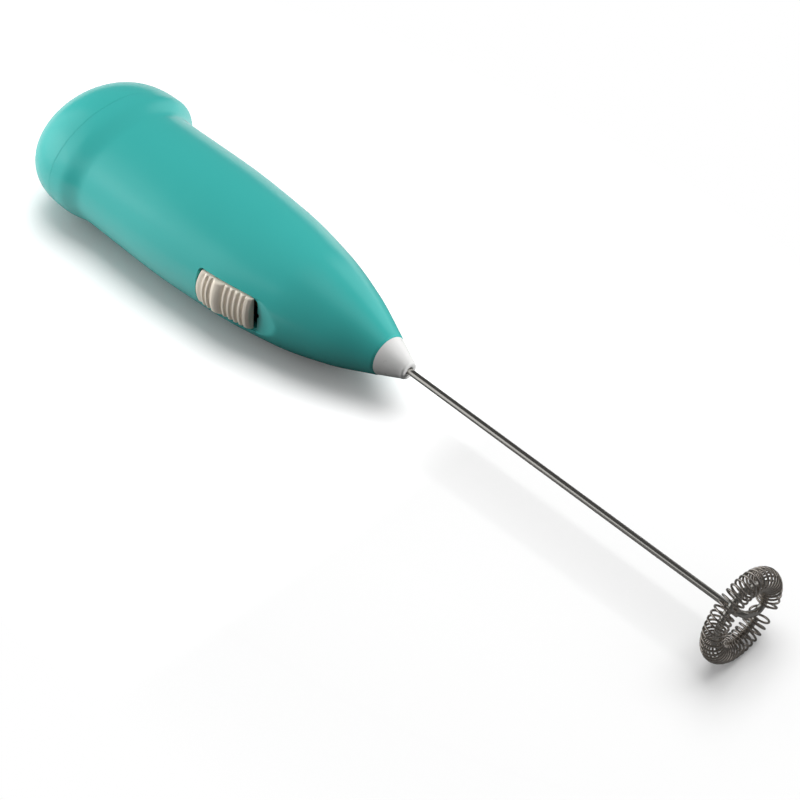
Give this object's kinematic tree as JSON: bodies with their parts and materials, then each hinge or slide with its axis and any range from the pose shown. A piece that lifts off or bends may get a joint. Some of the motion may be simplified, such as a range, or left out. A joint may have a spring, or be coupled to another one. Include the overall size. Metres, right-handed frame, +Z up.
{
  "type": "milk frother",
  "caption": "Hand-held battery milk frother lying on its side: oval flared handle, thumb slide switch, nose cone, long thin steel rod and a small ring-shaped coil whisk.",
  "frame": {"origin": "on the table surface, under the middle of the tool's bounding box", "axes": "+X along the tool from the pommel to the whisk, -Y towards the thumb slide, +Z up from the table it lies on; the rod's axis leans 0.90 degrees down towards +X"},
  "size_m": [0.2107, 0.04, 0.028],
  "materials": {
    "handle_teal": "smooth moulded teal plastic with a soft gloss",
    "nose_white": "smooth moulded white plastic",
    "button_cream": "moulded cream plastic with fine ribs",
    "contact_brass": "stamped sheet brass",
    "board_black": "black moulded plastic",
    "spring_nickel": "nickel-plated spring wire",
    "cell_wrap": "dark shrink wrap with no print",
    "motor_steel": "drawn plated steel",
    "magnet_ferrite": "dark grey ferrite and laminated steel",
    "motor_nylon": "natural nylon",
    "copper": "bare copper",
    "bush_bronze": "sintered bronze",
    "lead_red": "red wire insulation",
    "lead_black": "black wire insulation",
    "rod_steel": "polished stainless wire",
    "coil_steel": "bright stainless spring wire"
  },
  "bodies": {
    "root": {"handle_shell": "handle_teal", "nose_cone": "nose_white", "switch_board": "board_black", "supply_contact": "contact_brass", "motor_contact": "contact_brass", "contact_bulkhead": "board_black", "positive_plate": "contact_brass", "negative_plate": "contact_brass", "negative_spring": "spring_nickel", "battery_1": "cell_wrap", "battery_2": "cell_wrap", "motor_can": "motor_steel", "motor_magnets": "magnet_ferrite", "motor_end_cap": "motor_nylon", "motor_terminals": "contact_brass", "motor_brushes": "copper", "rear_bush": "bush_bronze", "front_bush": "bush_bronze", "lead_red": "lead_red", "lead_black": "lead_black"},
    "cover": {"battery_cover": "handle_teal", "bridge_plate": "contact_brass", "bridge_spring": "spring_nickel"},
    "switch": {"switch_slide": "button_cream", "slide_contact": "contact_brass"},
    "whisk": {"motor_shaft": "rod_steel", "armature_core": "magnet_ferrite", "armature_windings": "copper", "commutator": "copper", "shaft_coupling": "motor_nylon", "whisk_shaft": "rod_steel", "whisk_coil": "coil_steel"}
  },
  "joints": [
    {"name": "cover_slide", "type": "slide", "parent": "root", "child": "cover", "axis": [-0.9999, 0, 0.0158], "range_m": [0, 0.05]},
    {"name": "switch_slide", "type": "slide", "parent": "root", "child": "switch", "axis": [0.9999, 0, -0.0158], "range_m": [0, 0.0045]},
    {"name": "whisk_spin", "type": "hinge", "parent": "root", "child": "whisk", "pos_m": [-0.10525, -0.0013, 0.01428], "axis": [0.9999, 0, -0.0158], "continuous": true}
  ]
}
